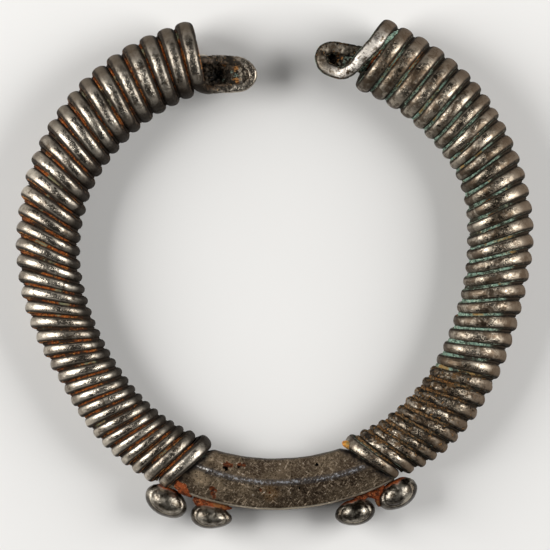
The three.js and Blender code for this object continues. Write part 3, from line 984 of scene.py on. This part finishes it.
def knobSilver():
    material, nodes = newMaterial("knob_silver")
    place, tones = nodes.place(), knobTones
    crease, flank, dark = nodes.marks("knob", "Crease", "Flank", "Dark")
    mottle = nodes.noise(place, 620.0, 6.0, 0.6)
    grain = nodes.noise(place, 2500.0, 3.0, 0.6)
    uneven = mottle - 0.5
    # a painted highlight along the crease
    creaseHighlight = (crease + uneven * 0.8).ramp(0.3, 0.8)

    # rust creeps up where a knob meets the bar's outer wall
    axis = (ringAxis[0] * millimetre, ringAxis[1] * millimetre, 0.0)
    parts = nodes.add("ShaderNodeSeparateXYZ", {}, {0: place - axis})
    far = (parts * parts + parts.other("Y") * parts.other("Y")).math("SQRT")
    wall = (barRadius + barLook["halfWidth"]) * millimetre
    rusty = ((wall - far) * perMillimetre + 0.75 + uneven * 1.6).ramp(0.0, 0.35)
    rustColor = nodes.mixColor(grain.ramp(0.35, 0.65), tones["rustDark"], tones["rust"])
    color = nodes.layered(
        tones["dark"], (mottle.ramp(0.40, 0.64), tones["bright"]),
        (nodes.noise(place, 300.0, 5.0).ramp(0.52, 0.68) * 0.75, tones["tarnish"]),
        (grain.ramp(0.60, 0.72) * 0.7, tones["speck"]),
        # painted shade on the outer, lower side
        ((flank + uneven * 0.5).ramp(0.2, 0.8) * 0.8, tones["flank"]),
        (dark * mottle.ramp(0.62, 0.42) * 0.8, tones["black"]), (creaseHighlight * 0.85, tones["creaseHighlight"]),
        (rusty, rustColor))
    finishMaterial(nodes, {
        "Base Color": color, "Metallic": nodes.mixValue(rusty.most(creaseHighlight * 0.8), 0.97, 0.1),
        "Roughness": nodes.mixValue(rusty.most(creaseHighlight * 0.5), 0.30, 0.85) + uneven * 0.35},
        mottle * 0.9 + grain * 0.55, 0.6, 0.00026)
    return material


knobFinish = knobSilver()
for name, look in knobLook.items():
    knob = addPiece(name + "_bead", buildKnob(name + "_bead", look), knobFinish)
    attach(knob, "root")
    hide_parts(name)

crustShape = {
    "rowsPerTurn": 40, "depthShare": 0.36, "radius": 0.27, "sides": 8, "innerSwell": 0.45,
}


def crustTree():
    tree = newTree("grooveCrust", {
        "Sides": 8, "Lump Height": 0.22, "Lump Spacing": 1.1, "Seed": 0.0, "Finish": None})
    nodes = Nodes(tree)
    entry = nodes.add("NodeGroupInput")
    line = nodes.add("GeometryNodeMeshToCurve", {}, {"Mesh": entry.other("Geometry")})
    girth = nodes.add(
        "GeometryNodeInputNamedAttribute", {"data_type": "FLOAT"}, {"Name": "girth"})
    thick = nodes.add("GeometryNodeSetCurveRadius", {}, {"Curve": line, "Radius": girth})
    circle = nodes.add("GeometryNodeCurvePrimitiveCircle", {}, {
        "Resolution": entry.other("Sides"), "Radius": 1.0})
    tube = nodes.add("GeometryNodeCurveToMesh", {}, {
        "Curve": thick, "Profile Curve": circle, "Fill Caps": True, "Scale": girth})
    here = nodes.add("GeometryNodeInputPosition") + nodes.vector(entry.other("Seed"), 0.0, 0.0)
    lump = nodes.noise(here, perMillimetre / entry.other("Lump Spacing"), 3.0, 0.6) - 0.5
    skin = nodes.add("GeometryNodeInputNormal")
    moved = nodes.add("GeometryNodeSetPosition", {}, {
        "Geometry": tube, "Offset": skin * (lump * 2.0 * entry.other("Lump Height") * millimetre)})
    finishTree(nodes, entry, moved)
    return tree


def lineMesh(name, lines):
    # polylines: each point has a radius, how far it fades into painted shade and how brown it has
    # turned
    mesh = bpy.data.meshes.new(name)
    points, edges, marks = [], [], []
    for line in lines:
        start = len(points)
        points.extend(point for point, *_ in line)
        marks.extend((girth * millimetre, fade, age) for _, girth, fade, age in line)
        edges.extend((start + step, start + step + 1) for step in range(len(line) - 1))
    mesh.from_pydata(toMetres(points).tolist(), edges, [])
    storeValues(mesh, dict(zip(("girth", "crustFade", "crustAge"), np.array(marks).T)))
    return mesh


def grooveLine(coil):
    line = []
    count = int(coil.turns * crustShape["rowsPerTurn"])
    for turn in np.linspace(coil.look["firstTurn"], coil.turns - 1, count):
        phase = fullTurn * turn
        seat, away = coil.seat(coil.frame(turn), phase)
        nextSeat, nextAway = coil.seat(coil.frame(turn + 1), phase)
        plane = coil.frame(turn + 0.5)
        point = ((seat + nextSeat) / 2
                 + (away + nextAway) / 2 * plane["thickness"] * crustShape["depthShare"])
        swell = 0.95 + 0.35 * noise.noise(Vector((turn * 2.7, coil.look["seed"], 2.0)))
        inner = 0.5 - 0.5 * math.cos(phase)
        patchy = 0.6 + 0.6 * noise.noise(Vector((turn * 1.3, coil.look["seed"], 8.0)))
        # the crust fades into painted shade where the strand ends are shaded: the inner ends and
        # patches of the outer ends on the left, the outer ends on the right
        if coil.side < 0:
            fade = easeBetween(inner, 0.78, 0.93) + patchy * (1 - easeBetween(inner, 0.04, 0.16))
            age = 0.0
        else:
            fade = 1 - easeBetween(inner, 0.12, 0.25 + 0.3 * patchy)
            swell *= 1 + crustShape["innerSwell"] * easeBetween(inner, 0.6, 0.95)
            age = easeBetween(turn, 23.5, 25.5)
        line.append((point, crustShape["radius"] * swell, min(1.0, float(fade)), float(age)))
    return line



crustColors = {
    "rust_crust": {
        "dark": (0.05, 0.012, 0.004), "main": (0.24, 0.056, 0.009), "light": (0.44, 0.19, 0.045),
        "grime": (0.016, 0.010, 0.006), "other": (0.17, 0.20, 0.12), "otherAmount": 0.7,
        "bareFrom": 0.51, "seed": 0.0},
    "green_crust": {
        "dark": (0.032, 0.043, 0.029), "main": (0.19, 0.29, 0.225), "light": (0.52, 0.62, 0.47),
        "grime": (0.022, 0.015, 0.009), "other": (0.30, 0.17, 0.05), "otherAmount": 0.8,
        "bareFrom": 0.54, "seed": 0.03},
    "red_crust": {
        "dark": (0.045, 0.010, 0.004), "main": (0.21, 0.046, 0.012), "light": (0.40, 0.14, 0.05),
        "grime": (0.05, 0.018, 0.008), "other": (0.34, 0.18, 0.06), "otherAmount": 0.4,
        "bareFrom": 0.62, "seed": 0.07},
    "pale_crust": {
        "dark": (0.05, 0.045, 0.03), "main": (0.24, 0.23, 0.15), "light": (0.50, 0.47, 0.33),
        "grime": (0.02, 0.015, 0.01), "other": (0.12, 0.15, 0.11), "otherAmount": 0.8,
        "bareFrom": 0.56, "seed": 0.05},
    "yellow_crust": {
        "dark": (0.16, 0.05, 0.008), "main": (0.55, 0.22, 0.03), "light": (0.80, 0.46, 0.12),
        "grime": (0.05, 0.03, 0.012), "other": (0.25, 0.24, 0.10), "otherAmount": 0.6,
        "bareFrom": 0.6, "seed": 0.11},
}
oldCrust = {"dark": (0.02, 0.012, 0.006), "brown": (0.22, 0.10, 0.03)}


def crustFinish(name, colors):
    material, nodes = newMaterial(name)
    place = nodes.place() + (colors["seed"], 0.0, 0.0)
    broad = nodes.noise(place, 190.0, 4.0, 0.65, 0.3)
    mottle = nodes.noise(place, 1500.0, 5.0, 0.7)
    grain = nodes.noise(place, 3600.0, 3.0)
    other = nodes.noise(place + (0.02, 0.05, 0.0), 210.0, 4.0, 0.6)
    uneven = mottle - 0.5
    age, fade = nodes.marks("crust", "Age", "Fade")
    grime = (broad + uneven * 0.5).ramp(colors["bareFrom"], colors["bareFrom"] + 0.06)
    oldColor = nodes.mixColor(grain.ramp(0.42, 0.6), oldCrust["dark"], oldCrust["brown"])
    color = nodes.layered(
        colors["dark"], (mottle.ramp(0.42, 0.56), colors["main"]),
        (grain.ramp(0.54, 0.66) * 0.8, colors["light"]),
        (other.ramp(0.56, 0.62) * colors["otherAmount"], colors["other"]),
        (grime * 0.95, colors["grime"]), ((age + uneven).ramp(0.3, 0.6) * 0.9, oldColor),
        # painted shade at the strand ends, in the grime colour
        ((fade + uneven * 0.5).ramp(0.15, 0.85), colors["grime"]))
    finishMaterial(nodes, {"Base Color": color, "Metallic": 0.0, "Roughness": 0.9},
                   mottle * 0.6 + grain * 0.5, 0.8, 0.0003)
    return material


crusts = {name: crustFinish(name, colors) for name, colors in crustColors.items()}
grooveCrust = crustTree()
for side, name, finish in ((leftSide, "left_groove_crust", "rust_crust"),
                           (rightSide, "right_groove_crust", "green_crust")):
    crust = growPiece(name, lineMesh(name, [grooveLine(side)]), grooveCrust, {
        "Sides": crustShape["sides"], "Seed": side.look["seed"] * 0.01}, crusts[finish])
    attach(crust, "root")

# earth and corrosion that fill the inside of each end loop
loopFill = {
    "columns": 90, "rows": 44, "depth": 1.4, "lump": 0.55, "hollow": 1.1,
    "left": {
        # from the coil to the tip: along, lower edge, upper edge, height of the top
        "edges": [(14.0, 28.6, 32.8, 5.2), (11.0, 28.7, 32.8, 5.4), (8.0, 28.9, 32.7, 5.9),
                  (6.2, 29.2, 32.4, 6.3), (4.9, 29.7, 31.7, 6.55), (4.1, 30.3, 31.0, 6.5)],
        "rust": [(6.35, 31.6, 0.55), (6.2, 29.65, 0.75), (8.3, 32.2, 0.4)],
        "green": [(6.35, 30.5, 0.6), (7.0, 31.0, 0.35), (8.4, 29.8, 0.4)],
        "pale": [(5.2, 30.6, 0.8), (5.8, 29.8, 0.6), (5.8, 31.4, 0.5)],
        # dark blobs are hollowed and painted near-black as the coil's shadow
        "dark": [(9.6, 30.4, 1.8), (13.0, 30.6, 2.0)],
    },
    "right": {
        "edges": [(15.5, 31.4, 34.6, 6.6), (14.0, 31.4, 34.6, 6.7), (12.0, 31.2, 34.5, 6.7),
                  (10.2, 31.4, 34.5, 6.4), (8.9, 31.9, 34.4, 6.3), (7.9, 32.7, 33.8, 6.4)],
        "rust": [(10.35, 33.75, 0.4), (10.8, 33.2, 0.4), (10.2, 32.9, 0.35)],
        "green": [(11.6, 33.3, 0.7), (12.7, 33.4, 0.6), (13.6, 33.9, 0.5), (11.3, 32.5, 0.4)],
        "pale": [(10.5, 32.4, 0.4)],
        # dark blobs are small hollows painted near-black
        "dark": [(9.35, 33.7, 0.5), (9.0, 33.2, 0.35), (14.0, 32.6, 0.5)],
    },
}


def buildFill(name, coil, look):
    edges = np.array(look["edges"])
    columns, rows = loopFill["columns"], loopFill["rows"]
    where = np.linspace(0, len(edges) - 1, columns)
    along, low, high, top = (np.interp(where, range(len(edges)), edges[:, k]) for k in range(4))
    points, marks = [], {key: [] for key in ("rust", "green", "pale", "dark")}
    for column in range(columns):
        for row in range(rows):
            y = low[column] + (high[column] - low[column]) * row / (rows - 1)
            spot = Vector((along[column], y, coil.look["seed"]))
            for key in marks:
                near = [math.exp(-((along[column] - x) ** 2 + (y - v) ** 2) / r ** 2)
                        for x, v, r in look[key]]
                marks[key].append(max(near) * (0.75 + 0.5 * noise.noise(spot * 3.0)))
            lump = (0.6 * noise.noise(spot * 1.1) + 0.4 * noise.noise(spot * 2.7)
                    + 0.25 * noise.noise(spot * 6.0))
            z = (top[column] + loopFill["lump"] * lump
                 - loopFill["hollow"] * marks["dark"][-1])
            points.append((coil.side * along[column], y, z))
    total = len(points)
    points.extend([(x, y, min(top) - loopFill["depth"]) for x, y, _ in points])
    faces = []
    for column in range(columns - 1):
        for row in range(rows - 1):
            a = column * rows + row
            quad = (a, a + 1, a + 1 + rows, a + rows)
            faces.append(quad)
            faces.append(tuple(corner + total for corner in reversed(quad)))
    rim = ([row for row in range(rows)] + [column * rows + rows - 1 for column in range(1, columns)]
           + [(columns - 1) * rows + row for row in range(rows - 2, -1, -1)]
           + [column * rows for column in range(columns - 2, 0, -1)])
    for first, second in zip(rim, rim[1:] + rim[:1]):
        faces.append((first, second, second + total, first + total))
    mesh = bpy.data.meshes.new(name)
    mesh.from_pydata(toMetres(points).tolist(), [], faces)
    faceOutward(mesh)
    mesh.shade_smooth()
    for key, values in marks.items():
        storeValues(mesh, {"fill" + key.capitalize(): values + values})
    return mesh



earthTones = {
    "dark": (0.016, 0.012, 0.008), "main": (0.085, 0.062, 0.042), "crumb": (0.22, 0.17, 0.12),
    "pale": (0.34, 0.29, 0.22), "greenDark": (0.05, 0.07, 0.055), "green": (0.20, 0.25, 0.20),
    "rustDark": (0.13, 0.045, 0.012), "rust": (0.38, 0.18, 0.055), "hole": (0.006, 0.005, 0.004),
}


def fillEarth():
    material, nodes = newMaterial("loop_earth")
    place, tones = nodes.place(), earthTones
    mottle = nodes.noise(place, 1100.0, 5.0, 0.65)
    grain = nodes.noise(place, 3200.0, 3.0, 0.6)
    uneven = mottle - 0.5
    pale, green, rust, dark = (
        (mark + (grain - 0.5) * 1.1 + uneven * 1.3).ramp(0.42, 0.66)
        for mark in nodes.marks("fill", "Pale", "Green", "Rust", "Dark"))
    speckled = grain.ramp(0.42, 0.6)
    color = nodes.layered(
        tones["dark"], (mottle.ramp(0.42, 0.62), tones["main"]),
        (grain.ramp(0.56, 0.68) * 0.7, tones["crumb"]), (pale, tones["pale"]),
        (green, nodes.mixColor(speckled, tones["greenDark"], tones["green"])),
        (rust, nodes.mixColor(speckled, tones["rustDark"], tones["rust"])),
        # near-black in the dark blobs: painted shadow of the coil in the left loop, dark hollows in
        # the right
        (dark, tones["hole"]))
    finishMaterial(nodes, {"Base Color": color, "Metallic": 0.0, "Roughness": 0.62 + uneven * 0.4},
                   mottle * 0.7 + grain * 0.5, 1.0, 0.0003)
    return material


earth = fillEarth()
for side, key in ((leftSide, "left"), (rightSide, "right")):
    name = key + "_loop_earth"
    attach(addPiece(name, buildFill(name, side, loopFill[key]), earth), "root")

# lumps of crust, given one by one: lines of points with a radius, curved where they have steps
crustLumps = {
    # a yellow clot where the right wire ends on the bar
    "wire_end_clot": {
        "finish": "yellow_crust", "sides": 16, "lump": 0.3, "spacing": 0.9, "seed": 0.4, "steps": 0,
        "lines": [[((11.1, -29.3, 5.9), 0.4), ((11.5, -29.45, 6.2), 0.62),
                   ((12.0, -29.7, 6.4), 0.68), ((12.6, -30.1, 6.4), 0.4)]]},
    # pale crumbs between each coil's last wrap and its side knob
    "knob_crumbs": {
        "finish": "pale_crust", "sides": 16, "lump": 0.4, "spacing": 0.7, "seed": 0.6, "steps": 0,
        "lines": [[((-18.0, -35.3, 5.3), 0.35), ((-17.3, -35.8, 5.7), 0.7),
                   ((-16.6, -36.2, 5.7), 0.5)],
                  [((17.5, -34.6, 5.6), 0.5), ((18.4, -35.0, 5.8), 0.75),
                   ((19.3, -34.9, 5.6), 0.45)]]},
    # green and red in the groove between the right loop's wire and the first wrap
    "loop_groove_green": {
        "finish": "green_crust", "sides": 14, "lump": 0.4, "spacing": 0.8, "seed": 0.8, "steps": 40,
        "lines": [[((13.7, 31.0, 8.0), 0.35), ((15.1, 32.7, 9.2), 0.6), ((16.6, 34.3, 9.7), 0.62),
                   ((18.2, 36.0, 9.7), 0.52), ((19.3, 37.1, 9.1), 0.4),
                   ((19.9, 37.7, 8.3), 0.2)]]},
    "loop_groove_red": {
        "finish": "red_crust", "sides": 14, "lump": 0.4, "spacing": 0.8, "seed": 0.8, "steps": 40,
        "lines": [[((14.9, 31.7, 8.6), 0.22), ((15.6, 32.5, 9.4), 0.36), ((16.5, 33.5, 9.8), 0.40),
                   ((17.4, 34.5, 10.0), 0.3), ((17.9, 35.1, 9.9), 0.18)]]},
    # red rust between the knobs and the bar
    "knob_rust": {
        "finish": "red_crust", "sides": 16, "lump": 0.42, "spacing": 1.0, "seed": 0.2, "steps": 36,
        "lines": [[((-13.3, -38.2, 4.7), 0.5), ((-12.3, -38.75, 4.8), 0.95),
                   ((-11.0, -39.1, 4.9), 0.9), ((-9.6, -39.5, 4.9), 0.75),
                   ((-8.3, -39.8, 4.8), 0.55), ((-7.0, -39.95, 4.5), 0.15)],
                  [((-16.4, -35.3, 5.8), 0.5), ((-15.7, -35.9, 6.1), 0.95),
                   ((-15.0, -36.5, 6.1), 1.05), ((-14.2, -37.2, 5.9), 0.8),
                   ((-13.5, -37.9, 5.6), 0.35)],
                  [((12.9, -38.5, 4.9), 0.3), ((14.3, -38.05, 4.9), 0.5),
                   ((15.8, -37.6, 4.9), 0.55), ((16.7, -37.9, 4.8), 0.75),
                   ((17.0, -38.8, 4.5), 0.65), ((17.2, -39.5, 4.3), 0.45)],
                  [((16.7, -37.9, 4.9), 0.6), ((17.0, -36.9, 5.0), 0.65),
                   ((17.3, -35.6, 5.2), 0.6)]]},
}


def lumpLine(points, steps):
    places, girths = zip(*points)
    if steps:
        places = smoothLine(places, steps)
        girths = np.interp(np.linspace(0, len(points) - 1, steps), range(len(points)), girths)
    return [(place, girth, 0.0, 0.0) for place, girth in zip(places, girths)]


for name, look in crustLumps.items():
    lines = [lumpLine(points, look["steps"]) for points in look["lines"]]
    lump = growPiece(name, lineMesh(name, lines), grooveCrust, {
        "Sides": look["sides"], "Lump Height": look["lump"], "Lump Spacing": look["spacing"],
        "Seed": look["seed"]}, crusts[look["finish"]])
    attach(lump, "root")

# lengths here are metres
studio = {
    "cameraHeight": 0.9, "sensor": 36.0, "frameWidth": 0.08953, "partHeight": 0.005,
    "look": (0.00005, -0.00017), "floorSize": 3.0,
    # name: place, size across and along, power
    "lights": {
        "left_soft": ((-0.38, 0.05, 0.24), 0.28, 0.34, 2.6),
        "right_soft": ((0.38, 0.05, 0.24), 0.28, 0.34, 2.3),
    },
    "sky": 0.06, "floorDark": (0.72, 0.71, 0.69), "floorPale": (0.78, 0.77, 0.75),
}

floorMesh = bpy.data.meshes.new("floor")
half = studio["floorSize"] / 2
floorMesh.from_pydata([(-half, -half, 0), (half, -half, 0), (half, half, 0), (-half, half, 0)],
                      [], [(0, 1, 2, 3)])
floorMaterial, floorNodes = newMaterial("pale_floor")
floorPlace = floorNodes.place()
floorColor = floorNodes.mixColor(
    floorNodes.noise(floorPlace, 14.0, 3.0), studio["floorDark"], studio["floorPale"])
finishMaterial(floorNodes, {"Base Color": floorColor, "Roughness": 0.85},
               floorNodes.noise(floorPlace, 900.0, 2.0), 0.05, 0.0001)
addPiece("floor", floorMesh, floorMaterial)

for name, (place, wide, long, power) in studio["lights"].items():
    light = bpy.data.lights.new(name, "AREA")
    light.shape = "RECTANGLE"
    light.size, light.size_y, light.energy = wide, long, power
    lamp = bpy.data.objects.new(name, light)
    lamp.location = place
    lamp.rotation_euler = (-Vector(place)).to_track_quat("-Z", "Y").to_euler()
    bpy.context.scene.collection.objects.link(lamp)

world = bpy.data.worlds.new("studio")
world.use_nodes = True
skyColor = (studio["sky"],) * 3 + (1.0,)
world.node_tree.nodes["Background"].inputs["Color"].default_value = skyColor
bpy.context.scene.world = world

lens = bpy.data.cameras.new("camera")
lens.sensor_width = studio["sensor"]
fromPart = studio["cameraHeight"] - studio["partHeight"]
lens.lens = fromPart / studio["frameWidth"] * studio["sensor"]
lens.clip_start, lens.clip_end = 0.01, 20.0
camera = bpy.data.objects.new("camera", lens)
camera.location = (*studio["look"], studio["cameraHeight"])
bpy.context.scene.collection.objects.link(camera)
bpy.context.scene.camera = camera
bpy.context.scene.view_settings.view_transform = "Standard"
print("stage ready")
